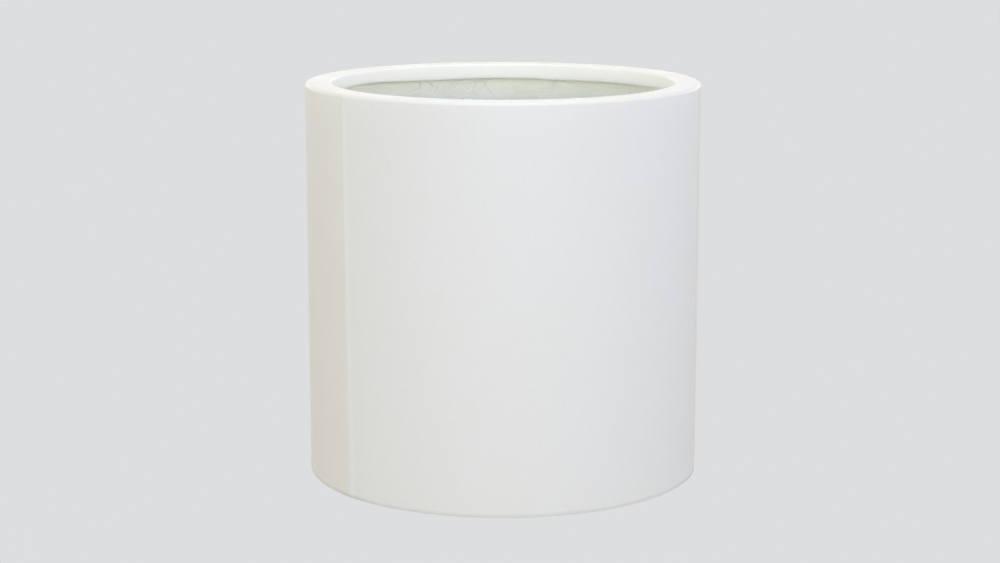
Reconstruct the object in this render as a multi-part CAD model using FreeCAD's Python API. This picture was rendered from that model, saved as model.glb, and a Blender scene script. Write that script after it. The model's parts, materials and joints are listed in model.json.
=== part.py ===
import FreeCAD, Part
import math
import os

# A cylindrical fibreglass planter with a flat rim that turns inwards and down.
# Millimetres, +Z up. The origin is on the ground at the pot's axis; -Y is the front.

# Overall size
HEIGHT = 600.0
OUTER_RADIUS = 300.0

# Moulded shell: white gelcoat, backed by chopped-strand laminate
GELCOAT = 0.8
WALL_LAMINATE = 4.5
RIM_LAMINATE = 4.5
RETURN_LAMINATE = 3.7
RIM_WIDTH = 39.0
RIM_OUTER_EDGE = 6.0  # radius of the edge between wall and rim
RIM_INNER_EDGE = 3.0  # radius of the edge between rim and return
COVE_AT_WALL = 8.0  # glass mat can't follow a sharp inside corner
COVE_AT_RETURN = 4.0
FOOT_BEVEL_IN_LAMINATE = 0.6  # the foot's outer edge is ground off through the gelcoat

# The return's lower edge is trimmed by hand: mean depth below the rim,
# and the waves that the trimming leaves, as (cycles, depth, degrees from the back)
RETURN_DEPTH = 23.5
TRIM_WAVES = ((3, 1.3, 14.0), (5, 1.2, -21.0), (7, 0.8, 18.0))
TRIM_CURVE_POINTS = 60

# Witness ridges where the mould's three wall sections met, in degrees from the front
SEAM_ANGLES = (-50.2, 72.2, 190.0)
SEAM_WIDTH = 3.6
SEAM_HEIGHT = 0.3

# Base tray, bonded in above the ground
BASE_CLEARANCE = 22.0
TRAY_LAMINATE = 5.0
TRAY_CORNER = 12.0
BOND_GAP = 1.5

# Stiffening ribs swaged into the tray, between the drain holes
RIB_HEIGHT = 8.0
RIB_WIDTH = 40.0
RIB_START = 60.0
RIB_END_INSET = 67.0  # in from the wall
RIB_DRAFT = 6.0
RIB_CROWN_EDGE = 2.5

# Bonding paste and glass tabbing in the corner above the tray
PASTE_LAP = 1.5
COVE_FULLNESS = 0.36  # 0.5 is a straight fillet, 0.29 a full round
TABBING_LAMINATE = 2.2
TABBING_RUN = 42.0
TABBING_FEATHER = 8.0
TABBING_EDGE = 1.0

# Drain holes, each in a shallow dished seat
DRAIN_COUNT = 4
DRAIN_INSET = 105.0  # in from the wall
DRAIN_RADIUS = 12.7
SEAT_RADIUS = 23.0
SEAT_DEPTH = 3.0

# Rubber drain plugs
PLUG_CLEARANCE = 0.3
PLUG_TAPER = 1.0
PLUG_REACH = 5.0  # below the seat's underside
PLUG_CHAMFER = 1.0
PLUG_FLANGE_LAP = 7.3
PLUG_FLANGE = 3.0
GRIP_LENGTH = 24.0
GRIP_THICKNESS = 5.0
GRIP_HEIGHT = 12.0
GRIP_CORNER = 5.0

# Worked out from the sizes above
LAMINATE_RADIUS = OUTER_RADIUS - GELCOAT
WALL_INNER = LAMINATE_RADIUS - WALL_LAMINATE
MOUTH_RADIUS = OUTER_RADIUS - RIM_WIDTH
RETURN_BACK = MOUTH_RADIUS + GELCOAT + RETURN_LAMINATE
FOOT_BEVEL = GELCOAT + FOOT_BEVEL_IN_LAMINATE
RIM_UNDERSIDE = HEIGHT - GELCOAT - RIM_LAMINATE
TRAY_RADIUS = WALL_INNER - BOND_GAP
TRAY_TOP = BASE_CLEARANCE + TRAY_LAMINATE
SEAT_TOP = TRAY_TOP - SEAT_DEPTH
SEAT_UNDERSIDE = SEAT_TOP - TRAY_LAMINATE
COVE = TRAY_CORNER + BOND_GAP + PASTE_LAP
RIB_END = WALL_INNER - RIB_END_INSET
DRAIN_CIRCLE = WALL_INNER - DRAIN_INSET

UP = FreeCAD.Vector(0, 0, 1)
AXIS_POINT = FreeCAD.Vector(0, 0, 0)


def revolve(start, *steps):
    """A solid of revolution from a closed outline of (radius, height) points.

    A step is the next point of a straight line, or a pair (middle, end) of an arc.
    """
    here = FreeCAD.Vector(start[0], 0, start[1])
    edges = []
    for step in steps + (start,):
        is_arc = isinstance(step[0], tuple)
        end = step[1] if is_arc else step
        there = FreeCAD.Vector(end[0], 0, end[1])
        if is_arc:
            middle = FreeCAD.Vector(step[0][0], 0, step[0][1])
            edges.append(Part.Arc(here, middle, there).toShape())
        elif here.distanceToPoint(there) > 1e-6:
            edges.append(Part.LineSegment(here, there).toShape())
        here = there
    face = Part.Face(Part.Wire(edges))
    return face.revolve(AXIS_POINT, UP, 360)


def quarter_round(centre, radius, first_angle, last_angle):
    """The step of an outline that rounds a corner about its centre, as (middle, end)."""
    middle, end = (
        (
            centre[0] + radius * math.cos(math.radians(angle)),
            centre[1] + radius * math.sin(math.radians(angle)),
        )
        for angle in ((first_angle + last_angle) / 2, last_angle)
    )
    return middle, end


def turned(shape, degrees):
    """A copy of the shape, turned about the pot's axis."""
    copy = shape.copy()
    copy.rotate(AXIS_POINT, UP, degrees)
    return copy


def trimmed_height(angle):
    """The height of the return's trimmed edge, at an angle in radians from the back."""
    wave = sum(
        depth * math.cos(cycles * (angle - math.radians(phase)))
        for cycles, depth, phase in TRIM_WAVES
    )
    return HEIGHT - RETURN_DEPTH - wave


def trim_curve(radius):
    """The closed wavy curve of the trimmed edge, at a radius."""
    angles = [2 * math.pi * i / TRIM_CURVE_POINTS for i in range(TRIM_CURVE_POINTS)]
    points = [
        FreeCAD.Vector(radius * math.sin(a), radius * math.cos(a), trimmed_height(a))
        for a in angles
    ]
    curve = Part.BSplineCurve()
    curve.interpolate(Points=points, PeriodicFlag=True)
    return curve.toShape()


def trimmed_off(return_floor):
    """The ring that trimming takes off the return, down to the height that it is laid up to."""
    inside = trim_curve(MOUTH_RADIUS - RETURN_LAMINATE)
    outside = trim_curve(RETURN_BACK + RETURN_LAMINATE)
    face = Part.makeRuledSurface(inside, outside)
    return face.extrude(UP * (return_floor - HEIGHT))


def seam_ridge():
    """The low crest that a mould joint leaves down the front of the wall."""
    half = SEAM_WIDTH / 2
    foot = math.sqrt(OUTER_RADIUS**2 - half**2)
    root = OUTER_RADIUS - GELCOAT / 2
    left = FreeCAD.Vector(-half, -foot, FOOT_BEVEL)
    right = FreeCAD.Vector(half, -foot, FOOT_BEVEL)
    crest = FreeCAD.Vector(0, -OUTER_RADIUS - SEAM_HEIGHT, FOOT_BEVEL)
    left_root = FreeCAD.Vector(-half, -root, FOOT_BEVEL)
    right_root = FreeCAD.Vector(half, -root, FOOT_BEVEL)
    outline = [
        Part.Arc(left, crest, right).toShape(),
        Part.LineSegment(right, right_root).toShape(),
        Part.LineSegment(right_root, left_root).toShape(),
        Part.LineSegment(left_root, left).toShape(),
    ]
    length = HEIGHT - RIM_OUTER_EDGE - FOOT_BEVEL
    return Part.Face(Part.Wire(outline)).extrude(UP * length)


def make_gelcoat_skin(return_floor):
    """Gelcoat over the wall, the rim and the inner face of the return, with its seams."""
    outer_edge = (OUTER_RADIUS - RIM_OUTER_EDGE, HEIGHT - RIM_OUTER_EDGE)
    inner_edge = (MOUTH_RADIUS + RIM_INNER_EDGE, HEIGHT - RIM_INNER_EDGE)
    skin = revolve(
        (LAMINATE_RADIUS, FOOT_BEVEL_IN_LAMINATE),
        (OUTER_RADIUS, FOOT_BEVEL),
        (OUTER_RADIUS, outer_edge[1]),
        quarter_round(outer_edge, RIM_OUTER_EDGE, 0, 90),
        (inner_edge[0], HEIGHT),
        quarter_round(inner_edge, RIM_INNER_EDGE, 90, 180),
        (MOUTH_RADIUS, return_floor),
        (MOUTH_RADIUS + GELCOAT, return_floor),
        (MOUTH_RADIUS + GELCOAT, inner_edge[1]),
        quarter_round(inner_edge, RIM_INNER_EDGE - GELCOAT, 180, 90),
        (outer_edge[0], HEIGHT - GELCOAT),
        quarter_round(outer_edge, RIM_OUTER_EDGE - GELCOAT, 90, 0),
    )
    ridges = [turned(seam_ridge(), angle) for angle in SEAM_ANGLES]
    return skin.fuse(ridges).cut(trimmed_off(return_floor)).removeSplitter()


def make_shell_laminate(return_floor):
    """The laid-up wall, rim and down-turned return behind the gelcoat, in one piece."""
    outer_edge = (OUTER_RADIUS - RIM_OUTER_EDGE, HEIGHT - RIM_OUTER_EDGE)
    inner_edge = (MOUTH_RADIUS + RIM_INNER_EDGE, HEIGHT - RIM_INNER_EDGE)
    wall_cove = (WALL_INNER - COVE_AT_WALL, RIM_UNDERSIDE - COVE_AT_WALL)
    return_cove = (RETURN_BACK + COVE_AT_RETURN, RIM_UNDERSIDE - COVE_AT_RETURN)
    shell = revolve(
        (WALL_INNER, 0),
        (OUTER_RADIUS - FOOT_BEVEL, 0),
        (LAMINATE_RADIUS, FOOT_BEVEL_IN_LAMINATE),
        (LAMINATE_RADIUS, outer_edge[1]),
        quarter_round(outer_edge, RIM_OUTER_EDGE - GELCOAT, 0, 90),
        (inner_edge[0], HEIGHT - GELCOAT),
        quarter_round(inner_edge, RIM_INNER_EDGE - GELCOAT, 90, 180),
        (MOUTH_RADIUS + GELCOAT, return_floor),
        (RETURN_BACK, return_floor),
        (RETURN_BACK, return_cove[1]),
        quarter_round(return_cove, COVE_AT_RETURN, 180, 90),
        (wall_cove[0], RIM_UNDERSIDE),
        quarter_round(wall_cove, COVE_AT_WALL, 90, 0),
    )
    return shell.cut(trimmed_off(return_floor))


def capsule(start, end, half_width, height):
    """A flat wire with round ends, along +X."""
    near_low = FreeCAD.Vector(start, -half_width, height)
    near_high = FreeCAD.Vector(start, half_width, height)
    near_tip = FreeCAD.Vector(start - half_width, 0, height)
    far_low = FreeCAD.Vector(end, -half_width, height)
    far_high = FreeCAD.Vector(end, half_width, height)
    far_tip = FreeCAD.Vector(end + half_width, 0, height)
    edges = [
        Part.LineSegment(near_low, far_low).toShape(),
        Part.Arc(far_low, far_tip, far_high).toShape(),
        Part.LineSegment(far_high, near_high).toShape(),
        Part.Arc(near_high, near_tip, near_low).toShape(),
    ]
    return Part.Wire(edges)


def swage(floor, crown, half_width):
    """A drafted rib with round ends and a rounded crown, between two heights, along +X."""
    start = RIB_START + RIB_WIDTH / 2
    end = RIB_END - RIB_WIDTH / 2
    low = capsule(start, end, half_width, floor)
    high = capsule(start, end, half_width - RIB_DRAFT, crown)
    rib = Part.makeLoft([low, high], True, True)
    crown_edges = [edge for edge in rib.Edges if abs(edge.BoundBox.ZMin - crown) < 1e-3]
    return rib.makeFillet(RIB_CROWN_EDGE, crown_edges)


def drain_angles():
    return [360 / DRAIN_COUNT * i for i in range(DRAIN_COUNT)]


def make_base_tray():
    """The moulded bottom: a ribbed disc with drain seats and a down-turned flange."""
    corner = (TRAY_RADIUS - TRAY_CORNER, TRAY_TOP - TRAY_CORNER)
    flange_inside = TRAY_RADIUS - TRAY_LAMINATE
    tray = revolve(
        (0, BASE_CLEARANCE),
        (corner[0], BASE_CLEARANCE),
        quarter_round(corner, TRAY_CORNER - TRAY_LAMINATE, 90, 0),
        (flange_inside, 0),
        (TRAY_RADIUS, 0),
        (TRAY_RADIUS, corner[1]),
        quarter_round(corner, TRAY_CORNER, 0, 90),
        (0, TRAY_TOP),
    )
    rib = swage(BASE_CLEARANCE, TRAY_TOP + RIB_HEIGHT, RIB_WIDTH / 2)
    groove = swage(BASE_CLEARANCE, BASE_CLEARANCE + RIB_HEIGHT, RIB_WIDTH / 2 - TRAY_LAMINATE)
    boss_height = TRAY_TOP - SEAT_UNDERSIDE
    boss_foot = SEAT_RADIUS + TRAY_LAMINATE
    boss_place = FreeCAD.Vector(DRAIN_CIRCLE, 0, SEAT_UNDERSIDE)
    boss = Part.makeCone(boss_foot, boss_foot + boss_height, boss_height, boss_place)
    seat_place = FreeCAD.Vector(DRAIN_CIRCLE, 0, SEAT_TOP)
    seat = Part.makeCone(SEAT_RADIUS, SEAT_RADIUS + SEAT_DEPTH, SEAT_DEPTH, seat_place)
    hole = Part.makeCylinder(DRAIN_RADIUS, boss_height, boss_place)
    between = 180 / DRAIN_COUNT
    added = [turned(boss, angle) for angle in drain_angles()]
    added += [turned(rib, angle + between) for angle in drain_angles()]
    removed = [turned(shape, angle) for angle in drain_angles() for shape in (seat, hole)]
    removed += [turned(groove, angle + between) for angle in drain_angles()]
    return tray.fuse(added).cut(removed).removeSplitter()


def cove_points(offset):
    """The concave corner over the tray, a given thickness in from tray and wall: start, middle, end."""
    slant = offset / math.sqrt(2)
    rise = COVE_FULLNESS * COVE + slant
    on_tray = (WALL_INNER - COVE, TRAY_TOP + offset)
    on_wall = (WALL_INNER - offset, TRAY_TOP + COVE)
    return on_tray, (WALL_INNER - rise, TRAY_TOP + rise), on_wall


def make_bond_paste():
    """Paste between the tray's flange and the wall, with the fillet that fills the corner."""
    corner = (TRAY_RADIUS - TRAY_CORNER, TRAY_TOP - TRAY_CORNER)
    on_tray, middle, on_wall = cove_points(0)
    return revolve(
        (TRAY_RADIUS, 0),
        (WALL_INNER, 0),
        on_wall,
        (middle, on_tray),
        (corner[0], TRAY_TOP),
        quarter_round(corner, TRAY_CORNER, 90, 0),
    )


def make_base_tabbing():
    """Glass mat laid wet over the corner, up the wall and onto the tray, with feathered ends."""
    wall_end = TRAY_TOP + COVE + TABBING_RUN
    tray_end = WALL_INNER - COVE - TABBING_RUN
    on_tray, middle, on_wall = cove_points(0)
    face_on_tray, face_middle, face_on_wall = cove_points(TABBING_LAMINATE)
    return revolve(
        on_wall,
        (middle, on_tray),
        (tray_end, TRAY_TOP),
        (tray_end, TRAY_TOP + TABBING_EDGE),
        (tray_end + TABBING_FEATHER, TRAY_TOP + TABBING_LAMINATE),
        face_on_tray,
        (face_middle, face_on_wall),
        (face_on_wall[0], wall_end - TABBING_FEATHER),
        (WALL_INNER - TABBING_EDGE, wall_end),
        (WALL_INNER, wall_end),
    )


def make_drain_plug():
    """A tapered rubber plug with a flange on the seat and a grip, at the axis."""
    shank = DRAIN_RADIUS - PLUG_CLEARANCE
    tip = shank - PLUG_TAPER
    bottom = SEAT_UNDERSIDE - PLUG_REACH
    flange = DRAIN_RADIUS + PLUG_FLANGE_LAP
    flange_top = SEAT_TOP + PLUG_FLANGE
    body = revolve(
        (0, bottom),
        (tip - PLUG_CHAMFER, bottom),
        (tip, bottom + PLUG_CHAMFER),
        (shank, SEAT_TOP),
        (flange, SEAT_TOP),
        (flange, flange_top - PLUG_CHAMFER),
        (flange - PLUG_CHAMFER, flange_top),
        (0, flange_top),
    )
    corner = FreeCAD.Vector(-GRIP_LENGTH / 2, -GRIP_THICKNESS / 2, flange_top - PLUG_CHAMFER)
    grip = Part.makeBox(GRIP_LENGTH, GRIP_THICKNESS, GRIP_HEIGHT + PLUG_CHAMFER, corner)
    crown = flange_top + GRIP_HEIGHT
    upper_corners = [
        edge
        for edge in grip.Edges
        if abs(edge.CenterOfMass.z - crown) < 1e-6 and edge.Length < GRIP_LENGTH - 1e-6
    ]
    grip = grip.makeFillet(GRIP_CORNER, upper_corners)
    return body.fuse(grip).removeSplitter()


def main():
    deepest_wave = sum(depth for cycles, depth, phase in TRIM_WAVES)
    return_floor = HEIGHT - RETURN_DEPTH - deepest_wave - RETURN_LAMINATE
    pieces = {
        "gelcoat_skin": make_gelcoat_skin(return_floor),
        "shell_laminate": make_shell_laminate(return_floor),
        "base_tray": make_base_tray(),
        "bond_paste": make_bond_paste(),
        "base_tabbing": make_base_tabbing(),
    }
    plug = make_drain_plug()
    plug.translate(FreeCAD.Vector(DRAIN_CIRCLE, 0, 0))
    for number, angle in enumerate(drain_angles(), 1):
        pieces[f"drain_plug_{number}"] = turned(plug, angle)

    os.makedirs("parts", exist_ok=True)
    for name, shape in pieces.items():
        solid = shape.Solids[0]
        print(
            f"{name}: {len(shape.Solids)} solid, valid {solid.isValid()}, "
            f"{solid.Volume / 1000:.1f} cm3"
        )
        solid.exportStep(f"parts/{name}.step")


main()
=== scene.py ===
import json
import math

import bmesh
import bpy
from bpy.props import FloatProperty, FloatVectorProperty, IntProperty, PointerProperty
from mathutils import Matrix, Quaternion, Vector, noise

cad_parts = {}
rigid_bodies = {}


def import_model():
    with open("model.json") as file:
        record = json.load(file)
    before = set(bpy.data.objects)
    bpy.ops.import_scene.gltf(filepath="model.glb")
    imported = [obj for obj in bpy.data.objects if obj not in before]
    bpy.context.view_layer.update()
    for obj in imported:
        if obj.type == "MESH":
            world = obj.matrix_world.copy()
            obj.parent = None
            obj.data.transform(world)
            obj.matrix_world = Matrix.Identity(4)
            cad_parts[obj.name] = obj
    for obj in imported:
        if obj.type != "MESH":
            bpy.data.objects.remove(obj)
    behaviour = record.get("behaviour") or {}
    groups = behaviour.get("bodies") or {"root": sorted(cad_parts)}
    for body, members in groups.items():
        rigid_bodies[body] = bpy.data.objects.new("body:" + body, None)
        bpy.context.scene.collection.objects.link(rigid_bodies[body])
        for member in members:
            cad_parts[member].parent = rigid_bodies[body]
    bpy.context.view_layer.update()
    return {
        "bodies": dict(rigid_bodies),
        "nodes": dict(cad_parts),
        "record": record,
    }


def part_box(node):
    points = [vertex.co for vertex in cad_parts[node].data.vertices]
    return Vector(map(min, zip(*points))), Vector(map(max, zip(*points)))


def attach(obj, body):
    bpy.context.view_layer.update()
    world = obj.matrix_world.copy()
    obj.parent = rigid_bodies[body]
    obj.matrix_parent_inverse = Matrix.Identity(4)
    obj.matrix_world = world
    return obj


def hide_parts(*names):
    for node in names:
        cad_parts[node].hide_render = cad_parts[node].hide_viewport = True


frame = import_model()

bl_info = {
    "name": "Fibreglass Cylinder Planter",
    "version": (1, 0, 0),
    "blender": (4, 5, 0),
    "location": "View3D > Sidebar > Planter",
    "description": "Dresses the packed planter: gelcoat, raw laminate, glass strands, base and drain plugs",
    "category": "Object",
}

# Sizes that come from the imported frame, in metres
OUTER_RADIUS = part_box("gelcoat_skin")[1][0]
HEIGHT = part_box("gelcoat_skin")[1][2]
MOUTH_RADIUS = next(m["dims"]["r_mm"] for m in frame["record"]["mounts"] if m["name"] == "mouth") / 1000
WALL_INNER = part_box("bond_paste")[1][0]
TRAY_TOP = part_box("base_tabbing")[0][2]
TABBING_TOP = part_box("base_tabbing")[1][2]
PLUG_BODIES = sorted(body for body in frame["bodies"] if body.startswith("plug_"))

# Angles are in degrees from the front (-Y), growing towards the right (+X)
SEAM_ANGLES = (-50.2, 72.2, 190.0)
SEAM_LEAN = 1.8  # from top to foot

# Painted shade on the wall, mixed in as yellowed gelcoat: each section's amount from its seam on (whiter in
# front, warmer and darker on both sides behind), and how much more at the foot
SECTION_PAINTED_SHADE = (-0.3, 0.15, 0.2)
FOOT_PAINTED_SHADE = 0.25

# The return's trimmed edge: lengths in metres, and angles in degrees from the back, growing towards the right
TRIM_WAVES = ((3, 0.0013, 14.0), (5, 0.0012, -21.0), (7, 0.0008, 18.0))  # cycles, depth, angle
CUT_MEETS = 14.2
STEP_HEIGHT = 0.0007
STEP_RUN = 0.7
STEP_FADE = 14

# Coves under the rim, where glass mat can't follow a sharp corner
WALL_COVE = 0.008
RETURN_COVE = 0.004

# Sockets that share a name with others and so go by number: a Mix node's colours, a Random Value's floats
MIX_A, MIX_B, MIXED = 6, 7, 2
LOWEST, HIGHEST, DRAWN = 2, 3, 1

# The kinds of node that come most often
NOISE, MAP_RANGE, ATTRIBUTE = "ShaderNodeTexNoise", "ShaderNodeMapRange", "ShaderNodeAttribute"
MATH, VECTOR_MATH, MIX = "ShaderNodeMath", "ShaderNodeVectorMath", "ShaderNodeMix"

# A property that holds a length
LENGTH = {"unit": "LENGTH", "precision": 5}


def linear(hex_code):
    """An sRGB hex colour as linear red, green and blue."""
    channels = (int(hex_code[i : i + 2], 16) / 255 for i in (1, 3, 5))
    return tuple(c / 12.92 if c <= 0.04045 else ((c + 0.055) / 1.055) ** 2.4 for c in channels)


def opaque(colour):
    return (*colour[:3], 1.0)


# ---- settings


class PlanterShellSettings(bpy.types.PropertyGroup):
    gelcoat: FloatProperty(
        name="Gelcoat", description="Thickness of the white gelcoat", default=0.0008, **LENGTH
    )
    laminate: FloatProperty(
        name="Rim laminate",
        description="Thickness of the laminate behind the gelcoat at the rim",
        default=0.0045,
        **LENGTH,
    )
    return_laminate: FloatProperty(
        name="Return laminate",
        description="Thickness of the laminate behind the rim's down-turned return",
        default=0.0037,
        **LENGTH,
    )
    return_depth: FloatProperty(
        name="Return depth",
        description="Mean depth of the down-turned return below the rim",
        default=0.0235,
        **LENGTH,
    )
    outer_edge: FloatProperty(
        name="Outer edge", description="Radius of the edge between wall and rim", default=0.006, **LENGTH
    )
    inner_edge: FloatProperty(
        name="Inner edge", description="Radius of the edge between rim and return", default=0.003, **LENGTH
    )
    seam_ridge: FloatProperty(
        name="Seam ridge",
        description="Height of the fine ridge where two mould sections met",
        default=0.0001,
        **LENGTH,
    )
    seam_crease: FloatProperty(
        name="Seam crease",
        description="Height of the soft crease that a mould joint leaves in the wall",
        default=0.0007,
        **LENGTH,
    )
    lay_up_relief: FloatProperty(
        name="Lay-up relief",
        description="Depth of the lumps that rolling by hand leaves on the raw inside",
        default=0.0009,
        **LENGTH,
    )


class PlanterStrandSettings(bpy.types.PropertyGroup):
    density: FloatProperty(
        name="Strands per square metre",
        description="Glass strands that show at the raw surface, per square metre",
        default=4400.0,
    )
    length: FloatProperty(
        name="Strand length", description="Length that chopped-strand mat is cut to", default=0.05, **LENGTH
    )
    thickness: FloatProperty(
        name="Strand thickness",
        description="Width of one bundle of glass filaments in the resin",
        default=0.0015,
        **LENGTH,
    )
    sunk: FloatProperty(
        name="Sunk",
        description="How deep a strand's middle lies under the resin's surface",
        default=0.0003,
        **LENGTH,
    )
    seed: IntProperty(name="Seed", description="Seed of the strands' places and directions", default=7)


class PlanterFinishSettings(bpy.types.PropertyGroup):
    gelcoat: FloatVectorProperty(
        name="Gelcoat", description="Colour of the white gelcoat", subtype="COLOR", default=linear("#DFDFDF")
    )
    # Also the colour of the painted shade on the wall's sections and towards the foot
    gelcoat_yellowed_and_shaded: FloatVectorProperty(
        name="Yellowed gelcoat",
        description="Colour of the gelcoat on the sections that are slightly yellowed",
        subtype="COLOR",
        default=linear("#DEDAD0"),
    )
    # The colour of the painted light on the rim and the return, and of the painted highlight beside each seam
    gelcoat_painted_light: FloatVectorProperty(
        name="Fresh gelcoat",
        description="Colour of the gelcoat that no sun or hand reaches, and where a seam was rubbed down",
        subtype="COLOR",
        default=linear("#EBECEA"),
    )
    resin: FloatVectorProperty(
        name="Resin", description="Colour of the raw laminate", subtype="COLOR", default=linear("#F4FAF5")
    )
    strand: FloatVectorProperty(
        name="Glass strands",
        description="Colour of the glass strands at the surface",
        subtype="COLOR",
        default=linear("#FFFFFF"),
    )
    rubber: FloatVectorProperty(
        name="Rubber", description="Colour of the drain plugs", subtype="COLOR", default=linear("#232425")
    )


class PlanterStageSettings(bpy.types.PropertyGroup):
    backdrop: FloatVectorProperty(
        name="Backdrop",
        description="Colour of the floor and of the studio round it",
        subtype="COLOR",
        default=linear("#DCDEDF"),
    )
    tent: FloatProperty(
        name="Tent", description="Brightness of the light tent's walls round the pot", default=3.8
    )
    top_power: FloatProperty(name="Top box", description="Power of the soft box above", default=57.0)
    front_power: FloatProperty(name="Front box", description="Power of the soft box in front", default=10.0)
    strip_power: FloatProperty(
        name="Strip box", description="Power of the low, wide box in front", default=17.0
    )
    camera_distance: FloatProperty(
        name="Camera distance",
        description="From the camera to the pot's axis, along the ground",
        default=3.333,
        **LENGTH,
    )
    camera_height: FloatProperty(
        name="Camera height", description="From the ground to the camera", default=0.9462, **LENGTH
    )
    camera_pitch: FloatProperty(
        name="Camera pitch",
        description="How far the camera looks down",
        default=math.radians(11.17),
        subtype="ANGLE",
    )
    camera_yaw: FloatProperty(
        name="Camera yaw",
        description="How far the camera looks to the right",
        default=math.radians(-0.08),
        subtype="ANGLE",
    )
    camera_roll: FloatProperty(
        name="Camera roll",
        description="How far the camera leans over",
        default=math.radians(0.04),
        subtype="ANGLE",
    )
    lens: FloatProperty(name="Lens", description="Focal length in millimetres", default=78.98)


# ---- meshes


def between(first, last, steps):
    """Evenly spaced values, both ends included."""
    return [first + (last - first) * i / steps for i in range(steps + 1)]


def round_points(centre, radius, first, last, steps):
    """Points on an arc of an outline, both ends included, from angle to angle in degrees."""
    return [
        (centre[0] + radius * math.cos(math.radians(a)), centre[1] + radius * math.sin(math.radians(a)))
        for a in between(first, last, steps)
    ]


def on_ring(angle, radius, height):
    """A point at an angle in degrees from the front."""
    turn = math.radians(angle)
    return Vector((radius * math.sin(turn), -radius * math.cos(turn), height))


def even_angles(count):
    return [360 * i / count for i in range(count)]


def turn_from(start, angle):
    """The shorter way from one angle to another, from -180 to 180 degrees."""
    return (angle - start + 180) % 360 - 180


def ramp(value, start, length):
    """How far a value has got on its way from start to start + length, from 0 to 1."""
    return min(1.0, max(0.0, (value - start) / length))


def bell(distance, width):
    """A smooth hump: 1 at no distance, and next to nothing at twice the width."""
    return math.exp(-((distance / width) ** 2))


def angles_with_seams(count, reach, spacing):
    """Angles all round, with closer ones near each mould seam. Reach and spacing are in metres."""
    width = math.degrees(reach / OUTER_RADIUS)
    steps = round(2 * reach / spacing)
    angles = {round(a, 4) for a in even_angles(count)}
    for seam in SEAM_ANGLES:
        angles = {a for a in angles if abs(turn_from(seam, a)) > width}
        angles |= {round((seam + offset) % 360, 4) for offset in between(-width, width, steps)}
    return sorted(angles)


def mesh_from_rings(name, angles, outline, loop=True, marks=()):
    """A surface round the axis.

    outline(angle) gives its (radius, height) points, as many at every angle. With loop the last point joins
    the first. Each of marks is a function of the angle and the point's number, and its name is the attribute's.
    """
    rings = [outline(angle) for angle in angles]
    count = len(rings[0])
    points = [on_ring(angle, *point) for angle, ring in zip(angles, rings) for point in ring]
    faces = []
    for i in range(len(angles)):
        here, there = i * count, (i + 1) % len(angles) * count
        for j in range(count if loop else count - 1):
            k = (j + 1) % count
            faces.append((here + j, there + j, there + k, here + k))
    mesh = bpy.data.meshes.new(name)
    mesh.from_pydata(points, [], faces)
    mesh.shade_smooth()
    for mark in marks:
        layer = mesh.attributes.new(mark.__name__, "FLOAT", "POINT")
        layer.data.foreach_set("value", [mark(angle, j) for angle in angles for j in range(count)])
    return mesh


def new_object(name, data):
    """An object in the scene."""
    thing = bpy.data.objects.new(name, data)
    bpy.context.scene.collection.objects.link(thing)
    return thing


def add_piece(name, mesh, body, replaced=(), material=None):
    """Links a finished piece to the scene and fastens it to its body."""
    piece = new_object(name, mesh)
    if material:
        mesh.materials.clear()
        mesh.materials.append(material)
    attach(piece, body)
    if replaced:
        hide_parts(*replaced)
    return piece


def trimmed_height(angle):
    """Height of the return's hand-trimmed edge, with a small step where two cuts met."""
    from_back = 180 - angle
    wave = sum(
        depth * math.cos(math.radians(cycles * (from_back - phase))) for cycles, depth, phase in TRIM_WAVES
    )
    beside = from_back - CUT_MEETS
    step = STEP_HEIGHT * math.tanh(beside / STEP_RUN) * math.exp(-abs(beside) / STEP_FADE)
    return HEIGHT - bpy.context.scene.planter_shell.return_depth - wave - step


def seam_distance(angle, height):
    """Distance in metres along the wall from the nearest mould seam, negative on its left.

    Every seam leans a little, towards greater angles on its way down.
    """
    lean = SEAM_LEAN * (0.5 - height / HEIGHT)
    return math.radians(min((turn_from(seam + lean, angle) for seam in SEAM_ANGLES), key=abs)) * OUTER_RADIUS


# ---- materials


def add_node(tree, kind, settings=None, inputs=None):
    """Adds a node with its settings and inputs.

    An input is a value, a socket that is linked to it, or a node whose first output is.
    """
    node = tree.nodes.new(kind)
    for name, value in (settings or {}).items():
        setattr(node, name, value)
    for key, value in (inputs or {}).items():
        if isinstance(value, bpy.types.Node):
            value = value.outputs[0]
        if isinstance(value, bpy.types.NodeSocket):
            tree.links.new(value, node.inputs[key])
        else:
            node.inputs[key].default_value = value
    return node


def new_material(name):
    """An empty node material: (material, tree, the piece's Object coordinates)."""
    material = bpy.data.materials.new(name)
    material.use_nodes = True
    tree = material.node_tree
    tree.nodes.clear()
    return material, tree, add_node(tree, "ShaderNodeTexCoord").outputs["Object"]


def shade(tree, inputs):
    """Ends a material's tree in a shader with these inputs, as values or links."""
    shader = add_node(tree, "ShaderNodeBsdfPrincipled", inputs=inputs)
    add_node(tree, "ShaderNodeOutputMaterial", inputs={"Surface": shader})


def per_metre(millimetres):
    """The scale of a noise texture whose features are this many millimetres apart, on coordinates in metres."""
    return 1000 / millimetres


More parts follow.
